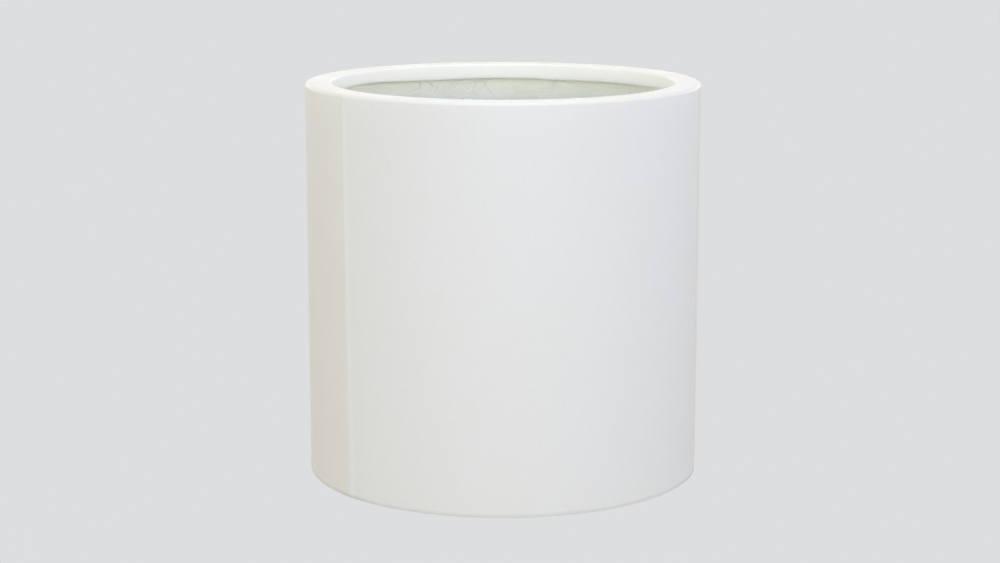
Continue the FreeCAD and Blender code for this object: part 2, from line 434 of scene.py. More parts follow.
def white_gelcoat():
    """White polyester gelcoat, sprayed into a polished mould and backed by glass.

    It is smooth and dense with a satin gloss. Up close it has a fine orange peel, a faint mottle from the glass
    behind it, rare pinholes, and a darker line along each mould seam. It yellows unevenly in clouds. Painted
    shade makes its sections differ, warmer and darker on the left, and darkens it towards the foot. Painted
    light makes it whiter on the rim and the return, and a painted highlight lies to the right of each seam.
    """
    finish = bpy.context.scene.planter_finish
    material, tree, place = new_material("white_polyester_gelcoat")
    # the wall's painted shade, the painted light on rim and return, the line along the seams, and the painted
    # highlight beside them
    tone, rim_and_return_painted_light, seam_line, seam_painted_highlight = (
        add_node(tree, ATTRIBUTE, {"attribute_name": mark}).outputs["Fac"]
        for mark in ("painted_wall_shade", "rim_and_return_painted_light", "seam_line", "seam_painted_highlight")
    )

    # the gelcoat yellows unevenly, in clouds about 90 mm across, and the painted shade of the sections and of
    # the foot is added to it
    clouds = add_node(
        tree, NOISE, inputs={"Vector": place, "Scale": per_metre(90), "Detail": 3.0, "Roughness": 0.55}
    )
    yellowing_and_painted_shade = add_node(
        tree, MATH, {"operation": "MULTIPLY_ADD", "use_clamp": True}, {0: clouds, 1: 0.5, 2: tone}
    )

    # mottling by the glass behind: grains about 5 mm across
    grain = add_node(
        tree, NOISE, inputs={"Vector": place, "Scale": per_metre(5), "Detail": 4.0, "Roughness": 0.7}
    )
    mottle = add_node(
        tree,
        MAP_RANGE,
        inputs={"Value": grain, "From Min": 0.3, "From Max": 0.7, "To Min": 0.972, "To Max": 1.0},
    )

    # pinholes 1.1 mm across, in the middles of cells 34 mm apart: the surface cuts through few of them
    cells = add_node(tree, "ShaderNodeTexVoronoi", inputs={"Vector": place, "Scale": per_metre(34)})
    pinhole = add_node(tree, MATH, {"operation": "LESS_THAN"}, {0: cells, 1: 0.55 / 34})

    colour = opaque(finish.gelcoat)
    for amount, blend, over in (
        # clouds of yellowed gelcoat, with the painted shade of the sections and the foot
        (yellowing_and_painted_shade, "MIX", opaque(finish.gelcoat_yellowed_and_shaded)),
        # painted light on the rim and the return
        (rim_and_return_painted_light, "MIX", opaque(finish.gelcoat_painted_light)),
        (1.0, "MULTIPLY", mottle),
        (pinhole, "MIX", opaque(linear("#9E9A8C"))),
        (seam_line, "MIX", opaque(linear("#CFCBBE"))),
        # painted highlight beside each seam
        (seam_painted_highlight, "MIX", opaque(finish.gelcoat_painted_light)),
    ):
        settings = {"data_type": "RGBA", "blend_type": blend}
        mix = add_node(tree, MIX, settings, {"Factor": amount, MIX_A: colour, MIX_B: over})
        colour = mix.outputs[MIXED]

    gloss = add_node(
        tree,
        MAP_RANGE,
        inputs={"Value": clouds, "From Min": 0.3, "From Max": 0.7, "To Min": 0.45, "To Max": 0.55},
    )

    # orange peel 3 mm across and 0.01 mm deep
    peel = add_node(tree, NOISE, inputs={"Vector": place, "Scale": per_metre(3), "Detail": 2.0})
    bump = add_node(tree, "ShaderNodeBump", inputs={"Strength": 0.35, "Distance": 0.00003, "Height": peel})
    shade(tree, {"Base Color": colour, "Roughness": gloss, "IOR": 1.52, "Normal": bump})
    return material


def raw_laminate(name, flat):
    """Chopped-strand glass mat in clear polyester resin, rolled out by hand: the raw side.

    The resin is glossy, pale green and a little cloudy, and it stands in lumps. The glass shows as a felt of
    straight 50 mm strands in all directions, with dark specks and lighter dry patches. A cut edge is duller.
    On a flat piece the felt lies level, and on the others it is wrapped round the wall.
    """
    finish = bpy.context.scene.planter_finish
    material, tree, place = new_material(name)
    parts = add_node(tree, "ShaderNodeSeparateXYZ", inputs={"Vector": place})

    sheet = place
    if not flat:
        # the wall unrolled: distance round it, and height
        front = add_node(tree, MATH, {"operation": "MULTIPLY"}, {0: parts.outputs["Y"], 1: -1.0})
        angle = add_node(tree, MATH, {"operation": "ARCTAN2"}, {0: parts.outputs["X"], 1: front})
        along = add_node(tree, MATH, {"operation": "MULTIPLY"}, {0: angle, 1: WALL_INNER})
        sheet = add_node(
            tree, "ShaderNodeCombineXYZ", inputs={"X": along, "Y": parts.outputs["Z"]}
        ).outputs["Vector"]

    # the felt of strands: noise drawn out 50 mm long and 1.6 mm wide, in five directions
    felt = 0.0
    for number, turn in enumerate((8, 43, 79, 118, 152)):
        turned = add_node(
            tree,
            "ShaderNodeMapping",
            inputs={
                "Vector": sheet,
                "Location": (number * 0.37, number * 0.19, 0),
                "Rotation": (0, 0, math.radians(turn)),
                "Scale": (per_metre(50), per_metre(1.6), 1),
            },
        )
        drawn = add_node(
            tree,
            NOISE,
            {"noise_dimensions": "2D"},
            {"Vector": turned, "Scale": 1.0, "Detail": 1.0, "Roughness": 0.4},
        )
        felt = add_node(tree, MATH, {"operation": "MAXIMUM"}, {0: felt, 1: drawn})
    strands = add_node(tree, MAP_RANGE, inputs={"Value": felt, "From Min": 0.58, "From Max": 0.8})
    veil = add_node(tree, MATH, {"operation": "MULTIPLY"}, {0: strands, 1: 0.6})

    # resin-rich and dry patches, about 45 mm across
    patches = add_node(
        tree, NOISE, inputs={"Vector": place, "Scale": per_metre(45), "Detail": 4.0, "Roughness": 0.6}
    )
    richness = add_node(tree, MAP_RANGE, inputs={"Value": patches, "From Min": 0.32, "From Max": 0.68})

    # painted shade: the yellow tint of the shadow under the return, as a paler, yellower band just under the
    # rim with a ragged lower edge
    ragged = add_node(tree, MATH, {"operation": "MULTIPLY_ADD"}, {0: patches, 1: 0.02, 2: parts.outputs["Z"]})
    painted_shadow_band = add_node(
        tree,
        MAP_RANGE,
        {"interpolation_type": "SMOOTHSTEP"},
        {"Value": ragged, "From Min": HEIGHT - 0.04, "From Max": HEIGHT - 0.018, "To Max": 0.85},
    )

    # dark specks of dust 1.2 mm across, in the middles of cells 18 mm apart
    cells = add_node(tree, "ShaderNodeTexVoronoi", inputs={"Vector": place, "Scale": per_metre(18)})
    speck = add_node(tree, MATH, {"operation": "LESS_THAN"}, {0: cells, 1: 0.6 / 18})
    cut_edge = add_node(tree, ATTRIBUTE, {"attribute_name": "cut_edge"}).outputs["Fac"]

    colour = opaque(linear("#EFF4EB"))
    for amount, over in (
        (richness, finish.resin),
        # the painted shadow band under the return
        (painted_shadow_band, linear("#F6F5E2")),
        (veil, finish.strand),
        (speck, linear("#8C8A78")),
        (cut_edge, linear("#DFE6D4")),
    ):
        colours = {"Factor": amount, MIX_A: colour, MIX_B: opaque(over)}
        colour = add_node(tree, MIX, {"data_type": "RGBA"}, colours).outputs[MIXED]

    gloss = add_node(
        tree,
        MAP_RANGE,
        inputs={"Value": patches, "From Min": 0.3, "From Max": 0.7, "To Min": 0.5, "To Max": 0.28},
    )
    relief = add_node(tree, MATH, {"operation": "MULTIPLY_ADD"}, {0: strands, 1: 0.5, 2: patches})
    bump = add_node(tree, "ShaderNodeBump", inputs={"Strength": 0.8, "Distance": 0.0004, "Height": relief})
    shade(tree, {"Base Color": colour, "Roughness": gloss, "IOR": 1.54, "Normal": bump})
    return material


def glass_strand():
    """A bundle of glass filaments wetted out with resin: whiter than the resin and slightly silky."""
    finish = bpy.context.scene.planter_finish
    material, tree, place = new_material("glass_strand_bundle")
    tone = add_node(tree, ATTRIBUTE, {"attribute_name": "strand_tone"}).outputs["Fac"]
    mixed = add_node(
        tree,
        MIX,
        {"data_type": "RGBA"},
        {"Factor": tone, MIX_A: opaque(finish.resin), MIX_B: opaque(finish.strand)},
    )

    # filaments, drawn 0.8 mm apart because their true 0.01 mm is too fine to show
    filaments = add_node(tree, NOISE, inputs={"Vector": place, "Scale": per_metre(0.8)})
    gloss = add_node(tree, MAP_RANGE, inputs={"Value": filaments, "To Min": 0.3, "To Max": 0.5})
    shade(tree, {"Base Color": mixed.outputs[MIXED], "Roughness": gloss, "IOR": 1.55})
    return material


def bonding_paste():
    """Polyester bonding paste, thickened and spread with a spatula: dull grey-green, with voids 2 mm apart."""
    material, tree, place = new_material("polyester_bonding_paste")
    voids = add_node(
        tree, NOISE, inputs={"Vector": place, "Scale": per_metre(2), "Detail": 3.0, "Roughness": 0.7}
    )
    mixed = add_node(
        tree,
        MIX,
        {"data_type": "RGBA"},
        {"Factor": voids, MIX_A: opaque(linear("#8F9480")), MIX_B: opaque(linear("#B4B8A4"))},
    )
    bump = add_node(tree, "ShaderNodeBump", inputs={"Strength": 0.6, "Distance": 0.0003, "Height": voids})
    shade(tree, {"Base Color": mixed.outputs[MIXED], "Roughness": 0.62, "Normal": bump})
    return material


def moulded_rubber():
    """Black EPDM rubber from a compression mould: matt, dusty in clouds 7 mm across, with a 0.6 mm grain."""
    finish = bpy.context.scene.planter_finish
    material, tree, place = new_material("moulded_epdm_rubber")
    dust = add_node(
        tree, NOISE, inputs={"Vector": place, "Scale": per_metre(7), "Detail": 5.0, "Roughness": 0.65}
    )
    amount = add_node(
        tree, MAP_RANGE, inputs={"Value": dust, "From Min": 0.4, "From Max": 0.75, "To Min": 0.0, "To Max": 0.5}
    )
    mixed = add_node(
        tree,
        MIX,
        {"data_type": "RGBA"},
        {"Factor": amount, MIX_A: opaque(finish.rubber), MIX_B: opaque(linear("#5A5A56"))},
    )
    grain = add_node(tree, NOISE, inputs={"Vector": place, "Scale": per_metre(0.6), "Detail": 2.0})
    bump = add_node(tree, "ShaderNodeBump", inputs={"Strength": 0.5, "Distance": 0.00005, "Height": grain})
    shade(tree, {"Base Color": mixed.outputs[MIXED], "Roughness": 0.6, "Normal": bump})
    return material


# ---- gelcoat skin


def seam_lift(angle, height):
    """How far a mould joint pushes the wall's face out: a soft crease with a fine ridge on it."""
    shell = bpy.context.scene.planter_shell
    distance = abs(seam_distance(angle, height))
    crease_reach, ridge_width = 0.045, 0.0012
    crease = shell.seam_crease * max(0.0, 1 - distance / crease_reach) ** 1.5
    return crease + shell.seam_ridge * bell(distance, ridge_width)


# Point numbers in gelcoat_outline where its outer and its inner edge start
OUTER_EDGE, INNER_EDGE = 18, 33


def gelcoat_outline(angle):
    """The skin's outline: up the wall, over the rim, down the return to its trimmed edge, and back inside."""
    shell = bpy.context.scene.planter_shell
    skin, outer, inner = shell.gelcoat, shell.outer_edge, shell.inner_edge
    edge = trimmed_height(angle)
    foot_edge, cut_width, cut_rise = 0.0003, 0.0003, 0.0005
    outer_centre = (OUTER_RADIUS - outer, HEIGHT - outer)
    inner_centre = (MOUTH_RADIUS + inner, HEIGHT - inner)
    heights = between(foot_edge, 0.02, 3) + between(0.03, HEIGHT - outer, 14)[:-1]
    points = [(OUTER_RADIUS + seam_lift(angle, z), z) for z in heights]
    lift = seam_lift(angle, HEIGHT - outer)
    points += [
        (r + lift * max(0.0, math.cos(math.radians(turn))), z)
        for turn, (r, z) in zip(between(0, 90, 9), round_points(outer_centre, outer, 0, 90, 9))
    ]
    points += [(r, HEIGHT) for r in between(outer_centre[0], inner_centre[0], 6)[1:-1]]
    points += round_points(inner_centre, inner, 90, 180, 7)
    points += [(MOUTH_RADIUS, z) for z in between(inner_centre[1], edge + cut_rise, 4)[1:]]
    points += [(MOUTH_RADIUS + cut_width, edge), (MOUTH_RADIUS + skin, edge)]
    points += round_points(inner_centre, inner - skin, 180, 90, 3)
    points += round_points(outer_centre, outer - skin, 90, 0, 4)
    points += [(OUTER_RADIUS - skin, 0.0), (OUTER_RADIUS - foot_edge, 0.0)]
    return points


class PLANTER_OT_gelcoat_skin(bpy.types.Operator):
    """Makes the white gelcoat skin with its rounded rim, mould seams and trimmed edge"""

    bl_idname = "planter.gelcoat_skin"
    bl_label = "Gelcoat skin"

    def execute(self, context):
        heights = [height for _, height in gelcoat_outline(0)]

        def painted_wall_shade(angle, number):
            """Painted shade on the wall: the sections by different amounts, and all more at the foot."""
            turn = (angle - SEAM_ANGLES[0]) % 360
            seams_passed = sum(turn >= seam - SEAM_ANGLES[0] for seam in SEAM_ANGLES[1:])
            return SECTION_PAINTED_SHADE[seams_passed] + FOOT_PAINTED_SHADE * (1 - heights[number] / HEIGHT)

        def seam_line(angle, number):
            """A darker line along the seams, on the wall and its rounded upper edge."""
            fade = 1 - ramp(number, OUTER_EDGE, 7)
            return 0.25 * fade * bell(seam_distance(angle, heights[number]), 0.0014)

        def seam_painted_highlight(angle, number):
            """Painted highlight: a whiter band to the right of each seam, on the lit side of its crease."""
            if number >= OUTER_EDGE:
                return 0.0
            return 0.28 * bell(seam_distance(angle, heights[number]) - 0.007, 0.006)

        def rim_and_return_painted_light(_, number):
            """Painted light: how far the gelcoat is whitened, a third on the flat rim and all on the return."""
            return 0.35 * ramp(number, OUTER_EDGE + 2, 7) + 0.65 * ramp(number, INNER_EDGE + 1, 5)

        mesh = mesh_from_rings(
            "gelcoat_shell",
            angles_with_seams(360, 0.05, 0.0009),
            gelcoat_outline,
            marks=(painted_wall_shade, seam_line, seam_painted_highlight, rim_and_return_painted_light),
        )
        add_piece("gelcoat_shell", mesh, "pot", ["gelcoat_skin"], white_gelcoat())
        return {"FINISHED"}


# ---- laminate shell


def lay_up(angle, height):
    """Relief of the raw inside, from 0 to 1: lumps of resin 30 mm across, long waves, and laps of the mat."""
    place = on_ring(angle, WALL_INNER, height)
    lumps = 0.5 + 0.5 * noise.fractal(place / 0.03, 0.9, 2.1, 4)
    long_waves = 0.5 + 0.5 * noise.noise(place / 0.11)
    mat_width, lap_width = 96, 9  # in degrees round the wall
    along = (angle + 6 * noise.noise(Vector((height * 6, 3, 0)))) % mat_width
    lap = 0.35 if along < lap_width else 0.0
    return min(1.0, 0.5 * lumps + 0.3 * long_waves + lap)


def inner_wall(angle, rows):
    """The raw inner face of the wall from top to bottom, as (radius, height) points."""
    relief = bpy.context.scene.planter_shell.lay_up_relief
    return [(WALL_INNER - relief * ramp(z, TABBING_TOP, 0.01) * lay_up(angle, z), z) for z in rows]


def rim_underside():
    """Height of the laminate's lower face under the rim."""
    shell = bpy.context.scene.planter_shell
    return HEIGHT - shell.gelcoat - shell.laminate


def wall_rows():
    """Heights of the inner wall's points from top to bottom, close together where its relief shows."""
    return between(rim_underside() - WALL_COVE, TABBING_TOP, 84) + [TRAY_TOP, 0.0]


# Point numbers of the return's trimmed edge in laminate_outline
TRIMMED_EDGE = range(9, 13)


def laminate_outline(angle):
    """The laminate's outline: up from the foot behind the skin, down the return, and back down inside."""
    shell = bpy.context.scene.planter_shell
    clearance, front_corner, back_corner = 0.00003, 0.0003, 0.0006
    skin = shell.gelcoat + clearance
    outer, inner = shell.outer_edge, shell.inner_edge
    underside = rim_underside()
    front = MOUTH_RADIUS + skin
    back = MOUTH_RADIUS + shell.gelcoat + shell.return_laminate
    edge = trimmed_height(angle)
    ragged = 0.0002 * noise.noise(on_ring(angle, 1, 0) * 90)
    points = [(OUTER_RADIUS - skin, 0.0)]
    points += round_points((OUTER_RADIUS - outer, HEIGHT - outer), outer - skin, 0, 90, 3)
    points += round_points((MOUTH_RADIUS + inner, HEIGHT - inner), inner - skin, 90, 180, 3)
    points += [(front, edge + 0.0001), (front + front_corner, edge - ragged)]
    points += [(back - back_corner, edge + ragged), (back, edge + back_corner)]
    points += round_points((back + RETURN_COVE, underside - RETURN_COVE), RETURN_COVE, 180, 90, 4)
    points += round_points((WALL_INNER - WALL_COVE, underside - WALL_COVE), WALL_COVE, 90, 0, 6)[:-1]
    points += inner_wall(angle, wall_rows())
    return points


class PLANTER_OT_shell_laminate(bpy.types.Operator):
    """Makes the raw laminate behind the gelcoat: wall, rim, return and their cut edges"""

    bl_idname = "planter.shell_laminate"
    bl_label = "Shell laminate"

    def execute(self, context):
        foot = (0, len(laminate_outline(0)) - 1)

        def cut_edge(_, number):
            return 1.0 if number in foot or number in TRIMMED_EDGE else 0.0

        mesh = mesh_from_rings("laminate_shell", even_angles(540), laminate_outline, marks=(cut_edge,))
        finish = raw_laminate("raw_laminate_wall", flat=False)
        add_piece("laminate_shell", mesh, "pot", ["shell_laminate"], finish)
        return {"FINISHED"}


# ---- base


def tabbing_outline(angle):
    """The glass strip over the corner between wall and tray, with ends that wander as hand-laid mat does."""
    cove, fullness = 0.015, 0.36  # the paste's corner: its reach, and where its middle lies
    thickness, run, feathered = 0.0022, 0.042, 0.0006
    spare, overlap = 0.004, 0.0001
    wander = noise.noise(on_ring(angle, 1, 0) * 2.2)
    flutter = noise.noise(on_ring(angle, 1, 0) * 9)
    top = TABBING_TOP - spare + 0.003 * wander + 0.001 * flutter
    inner_end = WALL_INNER - cove - run + spare - 0.003 * flutter - 0.001 * wander
    lump = 0.0004 * flutter

    def corner(depth):
        """Three points across the corner, this far out from the tray and the wall."""
        rise = fullness * cove + depth / math.sqrt(2)
        on_tray = (WALL_INNER - cove, TRAY_TOP + depth)
        on_wall = (WALL_INNER - depth, TRAY_TOP + cove)
        return on_tray, (WALL_INNER - rise, TRAY_TOP + rise), on_wall

    def curve(low, middle, high, steps):
        """A smooth curve through three points."""
        bend = [2 * m - (a + b) / 2 for a, m, b in zip(low, middle, high)]
        return [
            tuple(a * (1 - t) ** 2 + 2 * c * t * (1 - t) + b * t**2 for a, c, b in zip(low, bend, high))
            for t in between(0, 1, steps)
        ]

    low, middle, high = corner(thickness + lump)
    points = curve(low, middle, high, 6)
    points += [(high[0], z) for z in between(high[1], top - 0.008, 5)[1:]]
    points += [(WALL_INNER - feathered, top), (WALL_INNER + overlap, top)]
    points += curve(*reversed(corner(-overlap)), 4)
    points += [(inner_end, TRAY_TOP - overlap), (inner_end, TRAY_TOP + feathered)]
    points += [(r, TRAY_TOP + thickness + lump) for r in between(inner_end + 0.008, low[0], 4)[:-1]]
    return points[::-1]


class PLANTER_OT_base(bpy.types.Operator):
    """Makes the glass tabbing round the base, and finishes the tray and the bonding paste"""

    bl_idname = "planter.base"
    bl_label = "Base"

    def execute(self, context):
        finishes = {"base_tray": raw_laminate("raw_laminate_floor", flat=True), "bond_paste": bonding_paste()}
        for node, material in finishes.items():
            for slot in frame["nodes"][node].material_slots:
                slot.material = material
        mesh = mesh_from_rings("tabbing_strip", even_angles(420), tabbing_outline)
        finish = raw_laminate("raw_laminate_strip", flat=False)
        add_piece("tabbing_strip", mesh, "pot", ["base_tabbing"], finish)
        return {"FINISHED"}


# ---- glass strands


def strand_tree():
    """A node tree that scatters chopped strands over a surface and presses them into it."""
    tree = bpy.data.node_groups.new("chopped_strands", "GeometryNodeTree")
    sockets = (
        ("Surface", "NodeSocketGeometry"),
        ("Strands per square metre", "NodeSocketFloat"),
        ("Length", "NodeSocketFloat"),
        ("Thickness", "NodeSocketFloat"),
        ("Sunk", "NodeSocketFloat"),
        ("Seed", "NodeSocketInt"),
        ("Material", "NodeSocketMaterial"),
    )
    for name, kind in sockets:
        tree.interface.new_socket(name, in_out="INPUT", socket_type=kind)
    tree.interface.new_socket("Strands", in_out="OUTPUT", socket_type="NodeSocketGeometry")
    given = add_node(tree, "NodeGroupInput").outputs

    # points all over the surface, each turned its own way in the surface's plane
    scatter = add_node(
        tree,
        "GeometryNodeDistributePointsOnFaces",
        inputs={"Mesh": given["Surface"], "Density": given["Strands per square metre"], "Seed": given["Seed"]},
    )
    spin = add_node(
        tree, "FunctionNodeRandomValue", inputs={LOWEST: 0.0, HIGHEST: 2 * math.pi, "Seed": given["Seed"]}
    )
    about_normal = add_node(
        tree, "FunctionNodeAxisAngleToRotation", inputs={"Axis": (0, 0, 1), "Angle": spin.outputs[DRAWN]}
    )
    direction = add_node(
        tree,
        "FunctionNodeRotateRotation",
        {"rotation_space": "LOCAL"},
        {"Rotation": scatter.outputs["Rotation"], "Rotate By": about_normal},
    )

    # a straight strand on each point, of its own length and tone
    half = add_node(tree, MATH, {"operation": "MULTIPLY"}, {0: given["Length"], 1: 0.5})
    end = add_node(tree, "ShaderNodeCombineXYZ", inputs={"X": half})
    start = add_node(tree, VECTOR_MATH, {"operation": "SCALE"}, {0: end, "Scale": -1.0})
    line = add_node(tree, "GeometryNodeCurvePrimitiveLine", inputs={"Start": start, "End": end})
    jointed = add_node(tree, "GeometryNodeResampleCurve", inputs={"Curve": line, "Count": 5})
    size = add_node(tree, "FunctionNodeRandomValue", inputs={LOWEST: 0.55, HIGHEST: 1.0, "Seed": 3})
    strands = add_node(
        tree,
        "GeometryNodeInstanceOnPoints",
        inputs={
            "Points": scatter,
            "Instance": jointed,
            "Rotation": direction,
            "Scale": size.outputs[DRAWN],
        },
    )
    tone = add_node(tree, "FunctionNodeRandomValue", inputs={LOWEST: 0.1, HIGHEST: 1.0, "Seed": 11})
    toned = add_node(
        tree,
        "GeometryNodeStoreNamedAttribute",
        {"domain": "INSTANCE"},
        {"Geometry": strands, "Name": "strand_tone", "Value": tone.outputs[DRAWN]},
    )
    real = add_node(tree, "GeometryNodeRealizeInstances", inputs={"Geometry": toned})

    # each strand bends up to 10 mm, in bends about 45 mm long
    place = add_node(tree, "GeometryNodeInputPosition")
    sway = add_node(tree, NOISE, inputs={"Vector": place, "Scale": 22.0})
    centred = add_node(
        tree, VECTOR_MATH, {"operation": "SUBTRACT"}, {0: sway.outputs["Color"], 1: (0.5, 0.5, 0.5)}
    )
    small = add_node(tree, VECTOR_MATH, {"operation": "SCALE"}, {0: centred, "Scale": 0.02})
    bent = add_node(tree, "GeometryNodeSetPosition", inputs={"Geometry": real, "Offset": small})

    # then it lies down on the surface and sinks into it
    nearest = add_node(tree, "GeometryNodeProximity", {"target_element": "FACES"}, {0: given["Surface"]})
    facing = add_node(tree, "GeometryNodeInputNormal")
    normal = add_node(
        tree,
        "GeometryNodeSampleNearestSurface",
        {"data_type": "FLOAT_VECTOR"},
        {"Mesh": given["Surface"], "Value": facing},
    )
    inward = add_node(tree, MATH, {"operation": "MULTIPLY"}, {0: given["Sunk"], 1: -1.0})
    sink = add_node(tree, VECTOR_MATH, {"operation": "SCALE"}, {0: normal.outputs["Value"], "Scale": inward})
    laid = add_node(
        tree, "GeometryNodeSetPosition", inputs={"Geometry": bent, "Position": nearest, "Offset": sink}
    )

    # a three-sided bundle along each line
    radius = add_node(tree, MATH, {"operation": "MULTIPLY"}, {0: given["Thickness"], 1: 0.5})
    section = add_node(tree, "GeometryNodeCurvePrimitiveCircle", inputs={"Resolution": 3, "Radius": radius})
    bundle = add_node(
        tree, "GeometryNodeCurveToMesh", inputs={"Curve": laid, "Profile Curve": section, "Fill Caps": True}
    )
    real_bundle = add_node(tree, "GeometryNodeRealizeInstances", inputs={"Geometry": bundle})
    finished = add_node(
        tree, "GeometryNodeSetMaterial", inputs={"Geometry": real_bundle, "Material": given["Material"]}
    )
    add_node(tree, "NodeGroupOutput", inputs={"Strands": finished})
    return tree


def strands_on(name, surface, tree, material, seed):
    """Runs the strand tree over a surface mesh and returns the strands as a plain mesh."""
    strand = bpy.context.scene.planter_strands
    carrier = new_object(name + "_carrier", surface)
    modifier = carrier.modifiers.new("strands", "NODES")
    modifier.node_group = tree
    values = {
        "Strands per square metre": strand.density,
        "Length": strand.length,
        "Thickness": strand.thickness,
        "Sunk": strand.sunk,
        "Seed": seed,
        "Material": material,
    }
    for socket in tree.interface.items_tree:
        if socket.in_out == "INPUT" and socket.name in values:
            modifier[socket.identifier] = values[socket.name]
    bpy.context.view_layer.update()
    evaluated = carrier.evaluated_get(bpy.context.evaluated_depsgraph_get())
    mesh = bpy.data.meshes.new_from_object(evaluated)
    bpy.data.objects.remove(carrier)
    bpy.data.meshes.remove(surface)
    mesh.name = name
    if not mesh.polygons:
        raise RuntimeError(f"no strands were made on {name}")
    return mesh


def upper_faces(name, source, lowest):
    """A copy of a mesh with only its faces that look up and lie above a height, merged."""
    work = bmesh.new()
    work.from_mesh(source)
    bmesh.ops.remove_doubles(work, verts=work.verts, dist=1e-6)
    work.normal_update()
    hidden = [f for f in work.faces if f.normal.z < 0.5 or f.calc_center_median().z < lowest]
    bmesh.ops.delete(work, geom=hidden, context="FACES")
    mesh = bpy.data.meshes.new(name)
    work.to_mesh(mesh)
    work.free()
    return mesh


class PLANTER_OT_glass_strands(bpy.types.Operator):
    """Scatters the glass strands that show on the raw wall and on the base"""

    bl_idname = "planter.glass_strands"
    bl_label = "Glass strands"

    def execute(self, context):
        seed = context.scene.planter_strands.seed
        tree = strand_tree()
        material = glass_strand()
        low_edge = TABBING_TOP - 0.004
        rows = [z for z in wall_rows() if z >= low_edge]
        wall = mesh_from_rings("wall_face", even_angles(240), lambda angle: inner_wall(angle, rows), loop=False)
        mesh = strands_on("wall_strands", wall, tree, material, seed)
        add_piece("wall_strands", mesh, "pot")
        tray = upper_faces("tray_face", frame["nodes"]["base_tray"].data, TRAY_TOP - 0.004)
        mesh = strands_on("tray_strands", tray, tree, material, seed + 1)
        add_piece("tray_strands", mesh, "pot")
        return {"FINISHED"}


# ---- drain plugs


def turned_solid(work, profile, steps=64):
    """Turns a profile, which starts and ends on the axis, round it into a closed solid."""
    rings = []
    for radius, height in profile:
        turns = [2 * math.pi * i / steps for i in range(steps if radius else 1)]
        rings.append([work.verts.new((radius * math.cos(t), radius * math.sin(t), height)) for t in turns])
    for lower, upper in zip(rings, rings[1:]):
        for i in range(steps):
            k = (i + 1) % steps
            corners = [ring[j % len(ring)] for ring, j in ((lower, i), (lower, k), (upper, k), (upper, i))]
            work.faces.new(dict.fromkeys(corners))


def plug_mesh(name, node):
    """A moulded plug over its CAD solid: tapered shank, rounded flange with a ring groove, and rounded grip."""
    low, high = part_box(node)
    centre = (Vector(low) + Vector(high)) / 2
    flange_radius = (high[0] - low[0]) / 2
    shank, tip, tip_round = 0.0124, 0.0114, 0.0015
    fillet_width, fillet_height = 0.0004, 0.0005
    dish_depth, flange_thickness, flange_round = 0.003, 0.003, 0.0008
    groove_depth = 0.0005
    groove_outside, groove_inside = flange_radius - 0.003, flange_radius - 0.006
    grip_length, grip_width, grip_round, grip_root = 0.024, 0.005, 0.0018, 0.001
    seat = TRAY_TOP - dish_depth
    flange_top = seat + flange_thickness

    profile = [(0.0, low[2]), (tip - tip_round, low[2])]
    profile += round_points((tip - tip_round, low[2] + tip_round), tip_round, -90, 0, 4)[1:]
    profile += [(shank, seat - fillet_height), (shank + fillet_width, seat)]
    profile += [(flange_radius - flange_round, seat)]
    profile += round_points((flange_radius - flange_round, seat + flange_round), flange_round, -90, 0, 3)[1:]
    profile += round_points((flange_radius - flange_round, flange_top - flange_round), flange_round, 0, 90, 3)
    profile += [(groove_outside, flange_top), (groove_outside - groove_depth, flange_top - groove_depth)]
    profile += [(groove_inside + groove_depth, flange_top - groove_depth), (groove_inside, flange_top)]
    profile += [(0.0, flange_top)]
    work = bmesh.new()
    turned_solid(work, profile)

    grip = bmesh.ops.create_cube(work, size=1.0)["verts"]
    bmesh.ops.scale(work, verts=grip, vec=(grip_length, grip_width, high[2] - flange_top + grip_root))
    bmesh.ops.translate(work, verts=grip, vec=(0, 0, (high[2] + flange_top - grip_root) / 2))
    edges = {edge for corner in grip for edge in corner.link_edges}
    bmesh.ops.bevel(work, geom=list(edges), offset=grip_round, segments=4, profile=0.5, affect="EDGES")

    turn = math.atan2(centre.y, centre.x)
    bmesh.ops.rotate(work, verts=work.verts, cent=(0, 0, 0), matrix=Quaternion((0, 0, 1), turn).to_matrix())
    bmesh.ops.translate(work, verts=work.verts, vec=(centre.x, centre.y, 0))
    bmesh.ops.recalc_face_normals(work, faces=work.faces)
    mesh = bpy.data.meshes.new(name)
    work.to_mesh(mesh)
    work.free()
    mesh.shade_smooth()
    mesh.set_sharp_from_angle(angle=math.radians(40))
    return mesh


class PLANTER_OT_drain_plugs(bpy.types.Operator):
    """Makes the four rubber drain plugs"""

    bl_idname = "planter.drain_plugs"
    bl_label = "Drain plugs"

    def execute(self, context):
        rubber = moulded_rubber()
        for body in PLUG_BODIES:
            number = body.rsplit("_", 1)[1]
            node = f"drain_plug_{number}"
            mesh = plug_mesh(f"moulded_plug_{number}", node)
            add_piece(f"moulded_plug_{number}", mesh, body, [node], rubber)
        return {"FINISHED"}


# ---- stage


def stage_floor(stage):
    """An even pale floor that shines as brightly as the backdrop, so that its horizon doesn't show."""
    material, tree, _ = new_material("studio_paper")
    glow = add_node(tree, "ShaderNodeEmission", inputs={"Color": opaque(stage.backdrop)})
    add_node(tree, "ShaderNodeOutputMaterial", inputs={"Surface": glow})
    reach, height = 30.0, -0.0004
    corners = [(reach * x, reach * y, height) for x, y in ((-1, -1), (1, -1), (1, 1), (-1, 1))]
    mesh = bpy.data.meshes.new("studio_floor")
    mesh.from_pydata(corners, [], [(0, 1, 2, 3)])
    mesh.materials.append(material)
    floor = new_object("studio_floor", mesh)
    floor.visible_diffuse = False


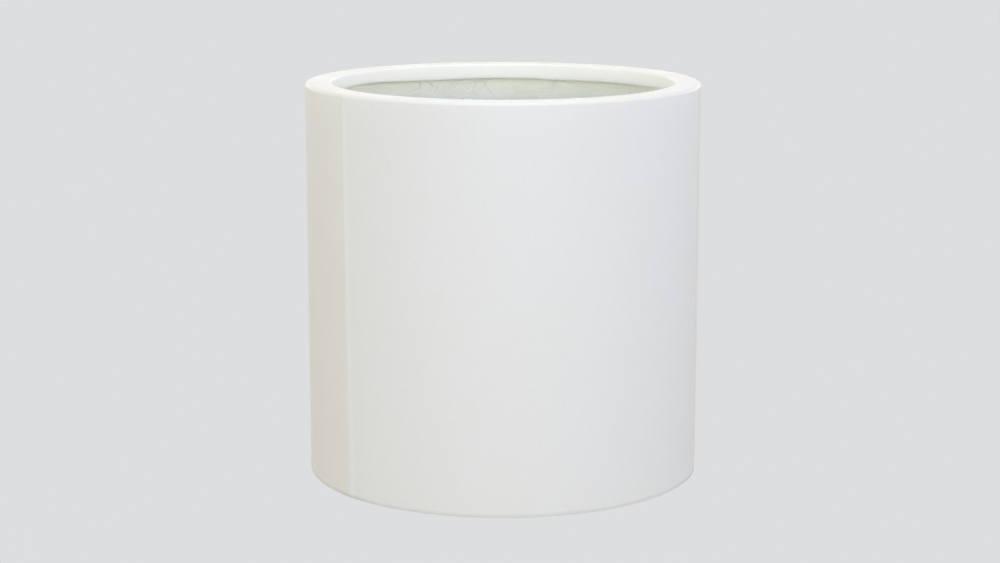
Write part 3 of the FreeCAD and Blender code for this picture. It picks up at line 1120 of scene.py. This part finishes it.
def studio_world(stage):
    """A light tent: bright walls from the ground up to a dim roof, a little warmer on the left.

    The camera itself sees only the plain backdrop.
    """
    world = bpy.data.worlds.new("light_tent")
    world.use_nodes = True
    tree = world.node_tree
    tree.nodes.clear()
    towards = add_node(tree, "ShaderNodeTexCoord").outputs["Generated"]
    parts = add_node(tree, "ShaderNodeSeparateXYZ", inputs={"Vector": towards})
    wall = add_node(
        tree,
        MAP_RANGE,
        {"interpolation_type": "SMOOTHSTEP"},
        {"Value": parts.outputs["Z"], "From Min": -0.02, "From Max": 0.03, "To Min": 0.1, "To Max": 1.0},
    )
    roof = add_node(
        tree,
        MAP_RANGE,
        {"interpolation_type": "SMOOTHSTEP"},
        {"Value": parts.outputs["Z"], "From Min": 0.15, "From Max": 0.32, "To Min": 1.0, "To Max": 0.11},
    )
    front = add_node(tree, VECTOR_MATH, {"operation": "DOT_PRODUCT"}, {0: towards, 1: (0.2, -0.98, 0.0)})
    nearness = add_node(
        tree,
        MAP_RANGE,
        inputs={
            "Value": front.outputs["Value"],
            "From Min": -1.0,
            "From Max": 1.0,
            "To Min": 0.87,
            "To Max": 0.9,
        },
    )
    side = add_node(tree, MAP_RANGE, inputs={"Value": parts.outputs["X"], "From Min": -0.9, "From Max": 0.1})
    colour = add_node(
        tree,
        MIX,
        {"data_type": "RGBA"},
        {"Factor": side, MIX_A: opaque(linear("#FFFDF2")), MIX_B: opaque(linear("#F8FAFF"))},
    )
    shape = add_node(tree, MATH, {"operation": "MULTIPLY"}, {0: wall, 1: roof})
    lit = add_node(tree, MATH, {"operation": "MULTIPLY"}, {0: shape, 1: nearness})
    strength = add_node(tree, MATH, {"operation": "MULTIPLY"}, {0: lit, 1: stage.tent})
    tent = add_node(tree, "ShaderNodeBackground", inputs={"Color": colour.outputs[MIXED], "Strength": strength})
    plain = add_node(tree, "ShaderNodeBackground", inputs={"Color": opaque(stage.backdrop)})
    ray = add_node(tree, "ShaderNodeLightPath")
    mixed = add_node(
        tree, "ShaderNodeMixShader", inputs={"Fac": ray.outputs["Is Camera Ray"], 1: tent, 2: plain}
    )
    add_node(tree, "ShaderNodeOutputWorld", inputs={"Surface": mixed})
    return world


def area_light(name, place, size, power, colour):
    """A rectangular soft box that faces the pot's middle and isn't seen itself."""
    data = bpy.data.lights.new(name, "AREA")
    data.shape = "RECTANGLE"
    data.size, data.size_y = size
    data.energy = power
    data.color = linear(colour)
    light = new_object(name, data)
    target = Vector((0, 0, HEIGHT / 2))
    light.location = place
    light.rotation_mode = "QUATERNION"
    light.rotation_quaternion = (target - Vector(place)).to_track_quat("-Z", "Y")
    light.visible_camera = False


class PLANTER_OT_stage(bpy.types.Operator):
    """Sets the floor, the soft studio light and the camera"""

    bl_idname = "planter.stage"
    bl_label = "Stage"

    def execute(self, context):
        scene = context.scene
        stage = scene.planter_stage
        stage_floor(stage)
        scene.world = studio_world(stage)
        area_light("top_box", (0.0, 0.0, 3.4), (2.6, 2.6), stage.top_power, "#FFFCF6")
        area_light("front_box", (0.5, -3.2, 1.9), (2.4, 1.2), stage.front_power, "#F8FAFE")
        area_light("strip_box", (0.4, -3.2, 1.0), (2.6, 0.5), stage.strip_power, "#F8FAFE")
        scene.view_settings.view_transform = "Standard"
        scene.view_settings.look = "None"

        data = bpy.data.cameras.new("camera")
        data.lens = stage.lens
        data.sensor_width = 36.0
        camera = new_object("camera", data)
        forward = Vector(
            (
                math.sin(stage.camera_yaw) * math.cos(stage.camera_pitch),
                math.cos(stage.camera_yaw) * math.cos(stage.camera_pitch),
                -math.sin(stage.camera_pitch),
            )
        )
        camera.location = (0, -stage.camera_distance, stage.camera_height)
        camera.rotation_mode = "QUATERNION"
        level = forward.to_track_quat("-Z", "Y")
        camera.rotation_quaternion = Quaternion(forward, -stage.camera_roll) @ level
        scene.camera = camera
        return {"FINISHED"}


# ---- add-on


class PLANTER_PT_panel(bpy.types.Panel):
    """Lists the planter's pieces and their settings"""

    bl_idname = "PLANTER_PT_panel"
    bl_label = "Planter"
    bl_space_type = "VIEW_3D"
    bl_region_type = "UI"
    bl_category = "Planter"

    def draw(self, context):
        layout = self.layout
        for operator in OPERATORS:
            layout.operator(operator.bl_idname)
        for name, group in SETTINGS.items():
            box = layout.box()
            for setting in group.__annotations__:
                box.prop(getattr(context.scene, name), setting)


SETTINGS = {
    "planter_shell": PlanterShellSettings,
    "planter_strands": PlanterStrandSettings,
    "planter_finish": PlanterFinishSettings,
    "planter_stage": PlanterStageSettings,
}
OPERATORS = (
    PLANTER_OT_gelcoat_skin,
    PLANTER_OT_shell_laminate,
    PLANTER_OT_base,
    PLANTER_OT_glass_strands,
    PLANTER_OT_drain_plugs,
    PLANTER_OT_stage,
)
CLASSES = (*SETTINGS.values(), *OPERATORS, PLANTER_PT_panel)


def register():
    for cls in CLASSES:
        bpy.utils.register_class(cls)
    for name, group in SETTINGS.items():
        setattr(bpy.types.Scene, name, PointerProperty(type=group))


def unregister():
    for name in SETTINGS:
        delattr(bpy.types.Scene, name)
    for cls in reversed(CLASSES):
        bpy.utils.unregister_class(cls)


def main():
    register()
    bpy.ops.planter.gelcoat_skin()
    bpy.ops.planter.shell_laminate()
    bpy.ops.planter.base()
    bpy.ops.planter.glass_strands()
    bpy.ops.planter.drain_plugs()
    bpy.ops.planter.stage()


if __name__ == "__main__":
    main()
